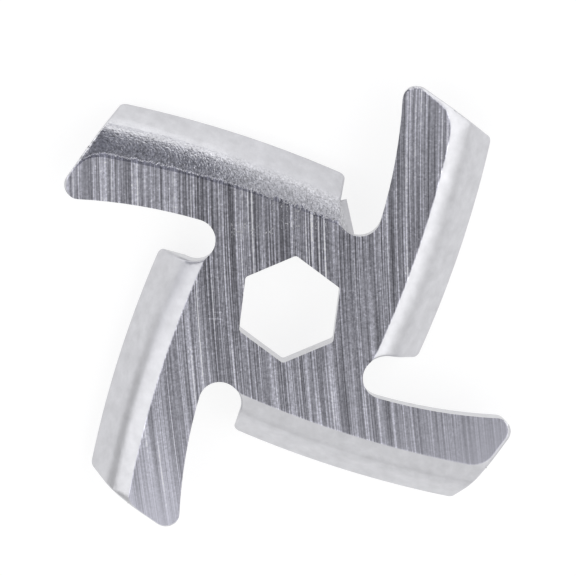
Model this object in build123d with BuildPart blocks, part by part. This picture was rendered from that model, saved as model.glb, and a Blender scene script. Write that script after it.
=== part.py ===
from build123d import *
from math import acos, cos, degrees, hypot, radians, sin, sqrt
import os

os.makedirs("parts", exist_ok=True)

# Meat grinder knife: one piece of stainless sheet, stamped, formed and ground.
# Z is the drive axis. The ground cutting face looks up, the four wings point down,
# and Z = 0 is the plane that the wings' lower edges rest on.
# Sizes are in millimetres and angles in degrees. One arm is drawn, with its tip to
# the lower right of the axis, and the others are turned copies of it.

arm_count = 4

# Sheet
sheet = 2.8                 # thickness of the strip that is stamped
ground_off = 0.17           # depth taken off the cutting face by grinding

# Drive hole
hex_flats = 9.0             # across the flats
hex_corner = 0.4            # radius in the six corners
hex_turn = 23.0             # bearing of one corner

# Gullet: the round-ended gap between an arm's cutting edge and the next wing
gullet_radius = 2.0
gullet_x = 8.97
gullet_y = -6.64
gullet_start = 71.0         # where the next wing's inner end leaves the round
gullet_sweep = 182.5        # from there round to the start of the cutting edge

# Arm tip
tip_x = 22.35               # sharp corner of cutting edge and end, before rounding
tip_y = -10.6
tip_corner = 1.35
end_bearing = 234.6         # direction of the arm's end, from the tip to the wing

# Wing: the back of the arm, bent down along an arc
bend_x = 37.5               # centre of the bend's arc, seen from above
bend_y = 84.2
bend_start = 100.1          # radius at which the sheet starts to curve
bend_angle = 53.0
bend_inside = 2.2           # bend radius on the underside
wing_leg = 2.75             # straight part of the wing past the bend
wing_corner = 0.7           # rounding of the wing's two free corners

# Walls and edges left by the stamping
wall_lean = 4.0             # walls lean in below the cutting face
edge_roll = 0.25            # rolled edge round the upper side of a wing
trim_margin = 1.0           # how far the trimming outline stands clear of the wing

# Flare: on one arm the gullet's wall spreads at the root of the wing
flare_turn = 180.0          # which arm, as a turn from the drawn one
flare_x = -5.8              # middle of the flare's foot, by the drawn arm
flare_y = -8.55
flare_bearing = -77.5       # direction of the foot, towards the wing
flare_length = 3.4
flare_width = 1.05          # how far the foot stands out from the wall's top
flare_below = 0.1           # depth of the flare's top under the cutting face

# Worked out from the sizes above
plate = sheet - ground_off
bend_outside = bend_inside + sheet
ground_angle = degrees(acos(1 - ground_off / bend_outside))
leg_radius = bend_start + bend_outside * sin(radians(bend_angle))
leg_drop = bend_outside * (1 - cos(radians(bend_angle))) - ground_off
wing_radius = leg_radius + wing_leg * cos(radians(bend_angle))
wing_drop = leg_drop + wing_leg * sin(radians(bend_angle))
face_z = wing_drop + sheet * cos(radians(bend_angle))
under_z = face_z - plate
bend_top = face_z + ground_off
arm_turn = 360 / arm_count
mouth_bearing = gullet_start + gullet_sweep / 2 + 180

bend_centre = Vector(bend_x, bend_y)
bend_axis = Axis((bend_x, bend_y, 0), (0, 0, 1))
tip_distance = Vector(tip_x, tip_y).length
far_out = 2 * tip_distance

# The wing's section is turned from the middle of one gullet to just past the tip
wing_start = Vector(gullet_x, gullet_y).rotate(Axis.Z, -arm_turn) - bend_centre
wing_finish = Vector(tip_x + trim_margin, tip_y) - bend_centre
wing_sweep = wing_start.get_angle(wing_finish)
section_plane = Plane((bend_x, bend_y, 0), x_dir=wing_start, z_dir=wing_start.cross(Vector(0, 0, 1)))


def run_to_wing(start, bearing):
    """Length of a line from start, at this bearing, to just outside the wing."""
    away = start - bend_centre
    along = away.X * cos(radians(bearing)) + away.Y * sin(radians(bearing))
    rim = wing_radius + trim_margin
    return sqrt(along**2 + rim**2 - away.length**2) - along


# Outline of one arm, from its gullet round the tip to the next gullet
with BuildLine() as arm_edge:
    gullet = CenterArc((gullet_x, gullet_y), gullet_radius, gullet_start, gullet_sweep)
    cutting_edge = TangentArc(gullet @ 1, (tip_x, tip_y), tangent=gullet % 1)
    arm_end = PolarLine(cutting_edge @ 1, run_to_wing(cutting_edge @ 1, end_bearing), end_bearing)
    inner_start = (gullet @ 0).rotate(Axis.Z, -arm_turn)
    inner_bearing = gullet_start - 90 - arm_turn
    inner_end = PolarLine(inner_start, run_to_wing(inner_start, inner_bearing), inner_bearing)
    Line(arm_end @ 1, inner_end @ 1)

with BuildSketch(Plane.XY.offset(face_z)) as outline:
    with BuildLine():
        with PolarLocations(0, arm_count):
            add(arm_edge.line)
    make_face()
    tips = outline.vertices().group_by(lambda v: abs(hypot(v.X, v.Y) - tip_distance))[0]
    fillet(tips, tip_corner)

# Flat part of one arm's quarter, as far as the start of its bend
with BuildSketch(Plane.XY.offset(under_z)) as quarter:
    with BuildLine():
        near_mouth = PolarLine((gullet_x, gullet_y), far_out, mouth_bearing)
        far_start = (near_mouth @ 0).rotate(Axis.Z, -arm_turn)
        far_mouth = PolarLine(far_start, far_out, mouth_bearing - arm_turn)
        Line(near_mouth @ 1, far_mouth @ 1)
        Polyline(near_mouth @ 0, (0, 0), far_mouth @ 0)
    make_face()
    with Locations((bend_x, bend_y)):
        Circle(bend_start, mode=Mode.INTERSECT)

# Wing: the sheet's section across the bend, turned about the bend's centre. The
# ground plane cuts the curve short and leaves the crisp line along the wing.
with BuildPart() as wing:
    with BuildSketch(section_plane):
        with BuildLine():
            curl = (bend_start, bend_top - bend_outside)
            upper = CenterArc(curl, bend_outside, 90 - ground_angle, ground_angle - bend_angle)
            lower = CenterArc(curl, bend_inside, 90, -bend_angle)
            upper_leg = PolarLine(upper @ 1, wing_leg, -bend_angle)
            lower_leg = PolarLine(lower @ 1, wing_leg, -bend_angle)
            Line(upper_leg @ 1, lower_leg @ 1)
            root = bend_start - bend_inside
            Polyline(upper @ 0, (root, face_z), (root, under_z), lower @ 0)
        make_face()
    revolve(axis=bend_axis, revolution_arc=wing_sweep)

# The formed sheet before it is trimmed to the outline
with BuildPart() as blank:
    with PolarLocations(0, arm_count):
        add(quarter.sketch)
    extrude(amount=plate)
    with PolarLocations(0, arm_count):
        add(wing.part)

# Flare, by its section across its foot: X runs from the foot into the metal. It goes
# no higher than the formed sheet.
foot = Vector(flare_x, flare_y, under_z).rotate(Axis.Z, flare_turn)
foot_way = Vector(1, 0, 0).rotate(Axis.Z, flare_bearing + flare_turn)
flare_plane = Plane(foot, x_dir=Vector(0, 0, 1).cross(foot_way), z_dir=foot_way)
flare_top = plate - flare_below
with BuildPart() as flare:
    with BuildSketch(flare_plane):
        with BuildLine():
            Polyline((0, 0), (flare_width, flare_top), (2 * flare_width, flare_top),
                     (2 * flare_width, 0), close=True)
        make_face()
    extrude(amount=flare_length / 2, both=True)
    add(blank.part, mode=Mode.INTERSECT)


def border(faces):
    """Edges that bound this patch of faces: each belongs to only one of them."""
    edges = [edge for face in faces for edge in face.edges()]
    return ShapeList(e for e in edges if sum(e.is_same(other) for other in edges) == 1)


def heights(edge):
    """Lowest and highest point of an edge, rounded for comparing."""
    box = edge.bounding_box()
    return round(box.min.Z, 3), round(box.max.Z, 3)


with BuildPart() as grinder_knife:
    add(blank.part)
    add(outline.sketch)
    extrude(amount=-face_z - trim_margin, taper=wall_lean, mode=Mode.INTERSECT)

    # The wings' free corners, and the rolled edge round each wing's upper side. The
    # ground face keeps crisp edges, which are what cuts.
    rim_z = round(face_z - wing_drop, 3)
    corners = [e for e in grinder_knife.edges() if heights(e) == (0, rim_z)]
    fillet(corners, wing_corner)
    curved = grinder_knife.faces().filter_by(GeomType.PLANE, reverse=True)
    wing_tops = curved.filter_by(lambda f: f.normal_at().Z > cos(radians(bend_angle)) / 2)
    rims = [e for e in border(wing_tops) if heights(e)[0] < round(face_z, 3)]
    fillet(rims, edge_roll)
    add(flare.part)

    with BuildSketch(Plane.XY.offset(face_z)) as drive_hole:
        RegularPolygon(hex_flats / 2, 6, major_radius=False, rotation=hex_turn)
        fillet(drive_hole.vertices(), hex_corner)
    extrude(amount=-face_z, mode=Mode.SUBTRACT)

grinder_knife.part.label = "grinder_knife"
export_step(grinder_knife.part, "parts/grinder_knife.step")
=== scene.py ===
import math
import bpy
import bmesh
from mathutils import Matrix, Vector


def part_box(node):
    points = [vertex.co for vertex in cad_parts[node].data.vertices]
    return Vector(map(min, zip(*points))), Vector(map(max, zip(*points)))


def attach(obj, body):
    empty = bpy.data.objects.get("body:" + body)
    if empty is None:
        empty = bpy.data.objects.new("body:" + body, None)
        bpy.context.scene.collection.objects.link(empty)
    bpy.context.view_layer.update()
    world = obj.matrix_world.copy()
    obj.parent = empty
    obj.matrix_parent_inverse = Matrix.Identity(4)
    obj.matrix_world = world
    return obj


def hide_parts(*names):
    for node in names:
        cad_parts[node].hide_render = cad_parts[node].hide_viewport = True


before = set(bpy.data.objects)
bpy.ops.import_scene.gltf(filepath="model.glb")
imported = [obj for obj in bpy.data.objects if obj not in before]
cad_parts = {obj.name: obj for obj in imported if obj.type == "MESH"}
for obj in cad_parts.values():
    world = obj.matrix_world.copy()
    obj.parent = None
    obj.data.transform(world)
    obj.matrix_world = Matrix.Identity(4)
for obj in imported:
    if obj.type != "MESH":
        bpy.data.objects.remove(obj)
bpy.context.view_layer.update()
scene = bpy.context.scene


# Camera. It stands about 23 cm above the knife and 4 cm behind its middle, and looks
# down through a long lens, so that the arms hardly taper.
MM = 0.001
face_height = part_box("grinder_knife")[1].z

# Its place from the drive axis at the height of the ground face, and its turns about X,
# Y and Z in degrees
camera_place = Vector((-2.55, 40.37, 233.45)) * MM
camera_turns = (-9.316, -0.582, 0.050)
camera_lens = bpy.data.cameras.new("camera")
camera_lens.sensor_width = 36
camera_lens.lens = 156.62
camera = bpy.data.objects.new("camera", camera_lens)
camera.location = camera_place + Vector((0, 0, face_height))
camera.rotation_euler = [math.radians(turn) for turn in camera_turns]
scene.collection.objects.link(camera)
scene.camera = camera


# Studio. Soft daylight from a pale surround, with bright walls behind and to the right
# and a dark stretch high up behind. One large lamp stands in front, one on each side.
class Tone:
    """A socket of a node tree. Arithmetic on it adds Math nodes."""

    def __init__(self, tree, socket=None):
        self.tree = tree
        self.socket = socket

    def node(self, kind, settings=None, sockets=None, output=0):
        """Adds any node: its settings first, then the values or links of its sockets."""
        node = self.tree.nodes.new(kind)
        for name, value in (settings or {}).items():
            setattr(node, name, value)
        for name, value in (sockets or {}).items():
            if isinstance(value, Tone):
                self.tree.links.new(value.socket, node.inputs[name])
            else:
                node.inputs[name].default_value = value
        return Tone(self.tree, node.outputs[output] if len(node.outputs) else None)

    def output(self, name):
        """Another output of the same node."""
        return Tone(self.tree, self.socket.node.outputs[name])

    def math(self, operation, *values):
        """Adds a Math node for these tones and numbers."""
        return self.node("ShaderNodeMath", {"operation": operation}, dict(enumerate(values)))

    def __add__(self, other):
        return self.math("ADD", self, other)

    def __sub__(self, other):
        return self.math("SUBTRACT", self, other)

    def __rsub__(self, other):
        return self.math("SUBTRACT", other, self)

    def __mul__(self, other):
        return self.math("MULTIPLY", self, other)

    def __truediv__(self, other):
        return self.math("DIVIDE", self, other)

    __radd__ = __add__
    __rmul__ = __mul__

    def rise(self, low, high):
        """0 below low, 1 above high, smooth between."""
        return self.node("ShaderNodeMapRange", {"interpolation_type": "SMOOTHSTEP"},
                         {"Value": self, "From Min": low, "From Max": high})

    def blend(self, first, second):
        """first where this tone is 0, second where it is 1; both are tones or numbers."""
        return self.node("ShaderNodeMix", {"data_type": "FLOAT"},
                         {"Factor": self, "A": first, "B": second})


world = bpy.data.worlds.new("studio")
scene.world = world
world.use_nodes = True
world.node_tree.nodes.clear()
sky = Tone(world.node_tree)
seen = sky.node("ShaderNodeLightPath", output="Is Camera Ray")
ray = sky.node("ShaderNodeTexCoord", output="Generated")
rightward = sky.node("ShaderNodeSeparateXYZ", sockets={"Vector": ray})
backward = rightward.output("Y")
upward = rightward.output("Z")

# Brightness of each part of the surround, where 1 is a white wall; the right wall gets
# brighter upwards
ceiling = 0.48
front = 0.72
right_low, right_high = 0.86, 1.7
low_wall, low_right = 0.6, 0.9
back_wall = 1.5
back_right = 1.5
back_dark = 0.17

# How far a ray has to point forward, right, up or back to be in each of them
in_front = (backward * -1.0).rise(0.25, 0.6)
at_right = rightward.rise(0.3, 0.7)
high_right = upward.rise(0.3, 0.85)
rather_right = rightward.rise(0.2, 0.6)
above_low = upward.rise(0.02, 0.12)
behind = backward.rise(0.05, 0.4)
above_wall = upward.rise(0.25, 0.42)
far_right = rightward.rise(0.34, 0.5)

surround = in_front.blend(ceiling, front)
surround = at_right.blend(surround, high_right.blend(right_low, right_high))
surround = above_low.blend(rather_right.blend(low_wall, low_right), surround)
back = above_wall.blend(back_wall, back_dark)
surround = behind.blend(surround, far_right.blend(back, back_right))

# The dark stretch is a little blue, and the camera sees plain white
blue_cast = {"Red": -0.12, "Green": -0.1, "Blue": 0.12}
dark = behind * above_wall * (1.0 - far_right) * (1.0 - seen)
tint = sky.node("ShaderNodeCombineColor", sockets={
    name: 1.0 + dark * cast for name, cast in blue_cast.items()})
glow = sky.node("ShaderNodeBackground", sockets={
    "Color": tint, "Strength": seen.blend(surround, 1.0)})
sky.node("ShaderNodeOutputWorld", sockets={"Surface": glow})

# Each lamp's bearing and its tilt from straight up in degrees, its width and length in
# metres and its brightness
lamps = {
    "front_lamp": (-95, 50, 1.0, 0.8, 0.25),
    "left_lamp": (180, 43, 0.3, 0.6, 1.05),
    "right_lamp": (-20, 43, 0.6, 0.7, 0.22),
}
lamp_distance = 0.6
for name, (bearing, tilt, width, length, brightness) in lamps.items():
    light = bpy.data.lights.new(name, "AREA")
    light.shape = "RECTANGLE"
    light.size = width
    light.size_y = length
    light.energy = brightness * math.pi * width * length
    lamp = bpy.data.objects.new(name, light)
    out = Vector((math.cos(math.radians(bearing)) * math.sin(math.radians(tilt)),
                  math.sin(math.radians(bearing)) * math.sin(math.radians(tilt)),
                  math.cos(math.radians(tilt))))
    lamp.location = out * lamp_distance
    lamp.rotation_euler = out.to_track_quat("Z", "Y").to_euler()
    scene.collection.objects.link(lamp)


# Floor. Plain white board under the knife, which keeps its soft shadow. It glows for
# the camera and in mirrored rays, so that it stays white without more light.
floor_size = 6.0
floor_grey = 0.25
floor_glow = 0.82
bpy.ops.mesh.primitive_plane_add(size=floor_size)
floor = bpy.context.object
floor.name = "floor"
floor_paint = bpy.data.materials.new("floor_white")
floor_paint.use_nodes = True
floor_paint.node_tree.nodes.clear()
paint = Tone(floor_paint.node_tree)
seen = paint.node("ShaderNodeLightPath", output="Is Camera Ray")
lit_rays = seen + seen.output("Is Glossy Ray") + seen.output("Is Transmission Ray")
matt = paint.node("ShaderNodeBsdfDiffuse", sockets={
    "Color": (floor_grey, floor_grey, floor_grey, 1)})
lift = paint.node("ShaderNodeEmission", sockets={"Strength": lit_rays * floor_glow})
both = paint.node("ShaderNodeAddShader", sockets={0: matt, 1: lift})
paint.node("ShaderNodeOutputMaterial", sockets={"Surface": both})
floor.data.materials.append(floor_paint)


# Knife. One piece of stainless sheet, stamped, its wings bent down behind the cutting
# edges and its cutting face ground flat. The punch has rolled the upper edge of each
# arm's end over, so the solid's mesh is cut finer there and the roll is pressed in.
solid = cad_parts["grinder_knife"]

# The sheet before grinding, in millimetres and on the lower right arm, where upper,
# lower, left and right are as seen from above with Y up. The bend runs round
# bend_middle, and the other arms are quarter turns of this one about the drive axis.
ground_off = 0.17
skin_top = face_height / MM + ground_off
bend_middle = Vector((37.5, 84.2))
bend_start = 100.1
bend_outside = 5.0
bend_angle = math.radians(53.0)

# The arm's end, from its tip's corner up to the bend
tip_corner = Vector((22.35, -10.6))
tip_radius = 1.35
edge_bearing = math.radians(180.0)
end_bearing = math.radians(234.6)
end_length = 6.0

# The wing, from its inner corner out
inner_corner = Vector((-4.75, -9.62))
wing_way = Vector((0.953, -0.303))
wing_length = 24.5

# Widths over which the end's edge rolls over, at the tip and at the bend, arm by arm
# clockwise from the lower right one, and how deep the roll is. It fades out down the
# bend, and round the tip down to a last small share.
end_rolls = ((1.6, 1.8), (0.6, 0.8), (0.8, 2.6), (1.3, 3.6))
roll_depth = 0.45
fading_end = 3.0
fading_length = 1.8
last_share = 0.02

# How much sooner each bend starts, at the tip; it comes back to nothing at the gullet
softer_bends = (0.25, 0.0, 1.0, 0.0)

# The finer cuts: strips along the end that grow wider inwards, strips along the bend,
# and slices across both, with how far they reach
finest_strip = 0.012
strips = 18
bend_strip = 0.2
slice_width = 0.5
end_reach = 9.5
bend_reach = (-1.9, 4.3)
wall_margin = 0.5
tip_margin = 1.5 * tip_radius
least_upward = 0.02

# A wall under a pressed edge follows it fully for wall_start, then less and less
wall_start = 0.05
wall_fade = 0.6

# How close, in metres, points have to be to count as one, to lie in a cutting plane and
# to lie in the ground face
merge_distance = 0.0005 * MM
in_cut = 1e-8
in_face = 0.001 * MM

# Edges that turn by more than this stay crisp
crisp_angle = math.radians(28)


def way(bearing):
    """Unit vector at this angle from +X, seen from above."""
    return Vector((math.cos(bearing), math.sin(bearing)))


def clockwise(point):
    """The point a quarter turn clockwise about the drive axis."""
    return Vector((point.y, -point.x))


end_way = way(end_bearing)
inward = clockwise(end_way)
bend_outward = clockwise(wing_way)
tip_half = (end_bearing - edge_bearing) / 2
tip_middle = tip_corner + way(edge_bearing + tip_half) * (tip_radius / math.sin(tip_half))
tip_sweep = math.pi - 2 * tip_half


def roll_drop(inwards, width, depth):
    """How far a rolled edge has dropped at this distance in from the wall."""
    share = 1.0 - max(inwards, 0.0) / width
    return depth * (1.0 - math.sqrt(1.0 - share**2)) if share > 0.0 else 0.0


def bend_drop(past, softer=0.0):
    """Drop of the skin this far past the start of the bend, which may start sooner."""
    radius = bend_outside + softer / math.tan(bend_angle / 2)
    past += softer
    leg = radius * math.sin(bend_angle)
    if past <= 0.0:
        return 0.0
    if past < leg:
        return radius - math.sqrt(radius**2 - past**2)
    return radius * (1.0 - math.cos(bend_angle)) + (past - leg) * math.tan(bend_angle)


def end_drop(point, tip_width, bend_width):
    """Drop of the rolled edge along an arm's end and round its tip."""
    from_tip = point - tip_middle
    along = from_tip.dot(end_way)
    past = (point - bend_middle).length - bend_start
    if along > 0.0:
        width = tip_width + (bend_width - tip_width) * min(along / end_length, 1.0)
        fading = min(max((fading_end - past) / fading_length, 0.0), 1.0)
        return roll_drop((point - tip_corner).dot(inward), width, roll_depth) * fading
    if from_tip.x > 0.0:
        bearing = math.atan2(from_tip.y, from_tip.x)
        turned = (bearing - end_bearing - math.pi / 2) % (2 * math.pi)
        fading = max(1.0 - (turned / tip_sweep)**2, last_share)
        return roll_drop(tip_radius - from_tip.length, tip_width * fading, roll_depth * fading)
    return 0.0


def in_plan(vert, quarter):
    """The vertex seen from above in mm, turned so that this arm lies lower right."""
    point = vert.co.xy / MM
    for turn in range(quarter):
        point = Vector((-point.y, point.x))
    return point


def near_end(face, quarter):
    """Whether the face belongs to the upper skin near this arm's end."""
    points = [in_plan(vert, quarter) for vert in face.verts]
    inwards = [(point - tip_corner).dot(inward) for point in points]
    along = [(point - tip_middle).dot(end_way) for point in points]
    return (face.normal.z > least_upward
            and min(inwards) < finest_strip * strips**2 and max(inwards) > -wall_margin
            and max(along) > -tip_margin and min(along) < end_reach)


def near_bend(face, quarter):
    """Whether the face belongs to the upper skin near this arm's bend."""
    points = [in_plan(vert, quarter) for vert in face.verts]
    past = [(point - bend_middle).length - bend_start for point in points]
    along = [(point - inner_corner).dot(wing_way) for point in points]
    return (face.normal.z > least_upward
            and min(past) < bend_reach[1] and max(past) > bend_reach[0]
            and max(along) > 0.0 and sum(points, Vector((0, 0))).y < 0.0)


def with_edges(faces):
    """The faces with their edges and vertices, as a bisection takes them."""
    return (faces + list({edge for face in faces for edge in face.edges})
            + list({vert for face in faces for vert in face.verts}))


sheet = bmesh.new()
sheet.from_mesh(solid.data)
bmesh.ops.remove_doubles(sheet, verts=sheet.verts, dist=merge_distance)
for quarter, (tip_width, bend_width) in enumerate(end_rolls):
    softer = softer_bends[quarter]
    end_cuts = [(tip_corner + inward * (finest_strip * cut**2), inward)
                for cut in range(1, strips)]
    end_cuts += [(tip_middle + end_way * (slice_width * cut - tip_radius), end_way)
                 for cut in range(1, int(end_reach / slice_width))]
    bend_cuts = []
    if softer > 0.0:
        first = bend_middle + bend_outward * (bend_start + bend_reach[0])
        count = int((bend_reach[1] - bend_reach[0]) / bend_strip)
        bend_cuts += [(first + bend_outward * (bend_strip * cut), bend_outward)
                      for cut in range(count)]
        bend_cuts += [(inner_corner + wing_way * (slice_width * cut), wing_way)
                      for cut in range(1, int(wing_length / slice_width))]
    for near, cuts in ((near_end, end_cuts), (near_bend, bend_cuts)):
        faces = [face for face in sheet.faces if near(face, quarter)]
        for spot, square in cuts:
            for turn in range(quarter):
                spot, square = clockwise(spot), clockwise(square)
            parts = bmesh.ops.bisect_plane(
                sheet, geom=with_edges(faces), dist=in_cut,
                plane_co=(*(spot * MM), 0.0), plane_no=(*square, 0.0))["geom"]
            faces = [part for part in parts
                     if isinstance(part, bmesh.types.BMFace) and near(part, quarter)]
    faces = [face for face in sheet.faces if near_end(face, quarter)
             or softer > 0.0 and near_bend(face, quarter)]
    faces = bmesh.ops.triangulate(sheet, faces=faces)["faces"]

    # Pressing: the skin goes down to the rolled edge and the softer bend
    for vert in {vert for face in faces for vert in face.verts}:
        point = in_plan(vert, quarter)
        past = (point - bend_middle).length - bend_start
        share = min(max((point - inner_corner).dot(wing_way) / wing_length, 0.0), 1.0)
        skin = skin_top - bend_drop(past)
        pressed = (skin_top - bend_drop(past, softer * share)
                   - end_drop(point, tip_width, bend_width))
        height = vert.co.z / MM
        if vert.co.z > face_height - in_face:
            vert.co.z = pressed * MM
        elif pressed < skin:
            below = skin - height - wall_start
            follows = 1.0 - min(max(below / wall_fade, 0.0), 1.0)
            vert.co.z = (height + (pressed - skin) * follows) * MM

    # Grinding: what stands above the ground plane comes off
    bmesh.ops.bisect_plane(sheet, geom=with_edges(faces), dist=in_cut,
                           plane_co=(0, 0, face_height), plane_no=(0, 0, 1))
for vert in sheet.verts:
    vert.co.z = min(vert.co.z, face_height)
bmesh.ops.triangulate(sheet, faces=[face for face in sheet.faces if len(face.verts) > 4])
bmesh.ops.recalc_face_normals(sheet, faces=sheet.faces)
for face in sheet.faces:
    face.smooth = True
for edge in sheet.edges:
    ground_sides = sum(all(vert.co.z > face_height - in_cut for vert in face.verts)
                       for face in edge.link_faces)
    edge.smooth = ground_sides != 1 and edge.calc_face_angle(0.0) < crisp_angle
body_mesh = bpy.data.meshes.new("knife_body")
sheet.to_mesh(body_mesh)
sheet.free()
knife = bpy.data.objects.new("knife_body", body_mesh)
scene.collection.objects.link(knife)
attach(knife, "root")
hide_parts("grinder_knife")


# The knife's steel. Its cutting face is ground with long, nearly straight marks, and
# the wings and walls keep the satin skin of the rolled sheet. The upper left bend has
# kept a coarse, dark grain.
steel = bpy.data.materials.new("knife_steel")
steel.use_nodes = True
steel.node_tree.nodes.clear()
grain = Tone(steel.node_tree)
place = grain.node("ShaderNodeTexCoord", output="Object")
place = grain.node("ShaderNodeVectorMath", {"operation": "SCALE"},
                   {"Vector": place, "Scale": 1 / MM})
x = grain.node("ShaderNodeSeparateXYZ", sockets={"Vector": place})
y = x.output("Y")
z = x.output("Z")
face_level = face_height / MM
radius_squared = x * x + y * y

# The grinding marks lean and curl a little from the Y axis
marks_lean = 0.06
marks_curl = 0.002
across = x + y * marks_lean - y * y * marks_curl


def marks(width, length, seed, detail):
    """Long marks along the grinding, about this wide and long in millimetres."""
    where = grain.node("ShaderNodeCombineXYZ", sockets={
        "X": across / width, "Y": y / length, "Z": seed})
    return grain.node("ShaderNodeTexNoise", {"noise_dimensions": "3D"},
                      {"Vector": where, "Scale": 1.0, "Detail": detail, "Roughness": 0.7})


def grit(size, seed, detail):
    """Even grain about this coarse in millimetres."""
    return grain.node("ShaderNodeTexNoise", {"noise_dimensions": "4D"},
                      {"Vector": place, "W": seed, "Scale": 1.0 / size, "Detail": detail,
                       "Roughness": 0.6})


def swing(noise, strength):
    """The noise about its middle, this strong."""
    return (noise - 0.5) * strength


def drift(centre, right, back, outward, cross):
    """A value that drifts over the knife, from the drive axis out, per mm or square mm."""
    return centre + x * right + y * back + radius_squared * outward + x * y * cross


def stroke(left, right, low, high):
    """A short scratch that fills this box seen from above, in millimetres."""
    side = 0.05
    end = 0.04
    return (x.rise(left - side, left + side) * (1.0 - x.rise(right - side, right + side))
            * y.rise(low - end, low + end) * (1.0 - y.rise(high - end, high + end)))


broad = marks(width=1.2, length=60.0, seed=3.1, detail=2.0)
middle = marks(width=0.35, length=45.0, seed=7.7, detail=2.0)
fine = marks(width=0.13, length=25.0, seed=1.9, detail=2.0)
light_lines = marks(width=0.22, length=60.0, seed=5.3, detail=0.0).rise(0.60, 0.70)
dust = grit(size=0.2, seed=4.1, detail=1.0)
specks = grit(size=0.3, seed=9.6, detail=0.0).rise(0.70, 0.78)
peel = grit(size=0.17, seed=2.3, detail=1.0)
clouds = grit(size=1.1, seed=6.8, detail=3.0)

# The coarse grain lies along the upper left bend, half a turn from the lower right one,
# and is weaker over the inner part of it
right_end = 1.0 - x.rise(7.0, 8.0)
inner = x.rise(-9.0, -1.0) * (1.0 - x.rise(6.0, 8.0)) * y.rise(6.0, 8.0)
from_x = x + bend_middle.x
from_y = y + bend_middle.y
from_bend = grain.math("SQRT", from_x * from_x + from_y * from_y)
along_bend = from_bend.rise(bend_start - 2.3, bend_start - 1.3)
pebbled = along_bend * (1.0 - inner * 0.3) * right_end * y.rise(4.0, 6.0)
bend_zone = z.rise(face_level - 1.7, face_level - 0.9)

# Where the face is ground. Its edge is clean, except that it frays along that bend.
fray_marks = 0.25
fray_shift = 0.07
inner_fray = 0.5
fray = pebbled * (swing(fine, fray_marks) + fray_shift) + swing(dust, inner_fray) * inner
ground = (z + fray).rise(face_level - 0.04, face_level - 0.01)

# Brightness: the marks show most towards the back and fade to the arms' ends
# Painted light: lighter out to the arms' ends and in front, darker to right and back
painted_light_drift = drift(centre=0.855, right=-0.005, back=-0.0065, outward=0.0009, cross=0.0004)
depth = drift(centre=1.4, right=-0.006, back=0.019, outward=-0.0015, cross=0.0)
fine_strength = 3.6
middle_strength = 1.3
broad_strength = 0.5
dust_strength = 1.3
line_lift = 0.35
line_offset = 0.07
speck_lift = 0.4
ground_level = 0.39
ground_marks = (swing(fine, fine_strength) + swing(middle, middle_strength)
                + swing(broad, broad_strength) + swing(dust, dust_strength)
                + light_lines * line_lift - line_offset)
spread = ground_marks * depth + specks * y.rise(-10.0, 2.0) * speck_lift
ground_tone = painted_light_drift * ground_level * grain.math("POWER", math.e, spread)
skin_level = 0.6
cloud_strength = 0.24
pebble_strength = 1.2
skin_tone = (skin_level + swing(clouds, cloud_strength)
             + swing(dust, pebble_strength) * pebbled * bend_zone)

# Two scratches left of the drive hole and a nick on the lower left wing's outer edge
upper_scratch = (-7.2, -6.4, -0.32, -0.2)
lower_scratch = (-7.7, -6.4, -0.95, -0.8)
wing_nick = (-19.5, -18.8, -8.5, -8.3)
scratch_lift = 0.6
nick_depth = 0.6
scratches = stroke(*upper_scratch) + stroke(*lower_scratch)
nick = stroke(*wing_nick)
tone = (ground.blend(skin_tone, ground_tone * (1.0 + scratches * scratch_lift))
        * (1.0 - nick * nick_depth))
# Bluish cast: partly the steel's own, partly a painted reflection of the dark surround
skin_blue = 1.04
ground_blue = 1.13
colour = grain.node("ShaderNodeCombineColor", sockets={
    "Red": tone, "Green": tone, "Blue": tone * ground.blend(skin_blue, ground_blue)})

skin_rough = 0.29
inner_rough = 0.15
ground_rough = 0.33
rough = ground.blend(skin_rough + inner * inner_rough, ground_rough)

# Relief: a faint peel on the skin, much deeper in the coarse grain, and the marks
skin_peel = 0.4
pebbled_peel = 0.8
bend_peel = 2.6
skin_relief = peel * (skin_peel + pebbled * (pebbled_peel + bend_zone * bend_peel))
middle_relief = 0.6
fine_relief = 0.4
ground_relief = middle * middle_relief + fine * fine_relief
relief_depth = 0.03 * MM
bump = grain.node("ShaderNodeBump", sockets={
    "Height": ground.blend(skin_relief, ground_relief), "Strength": 0.4,
    "Distance": relief_depth})
metal = grain.node("ShaderNodeBsdfPrincipled", sockets={
    "Base Color": colour, "Roughness": rough, "Metallic": 1.0, "Normal": bump})
grain.node("ShaderNodeOutputMaterial", sockets={"Surface": metal})
knife.data.materials.clear()
knife.data.materials.append(steel)

scene.view_settings.view_transform = "Standard"
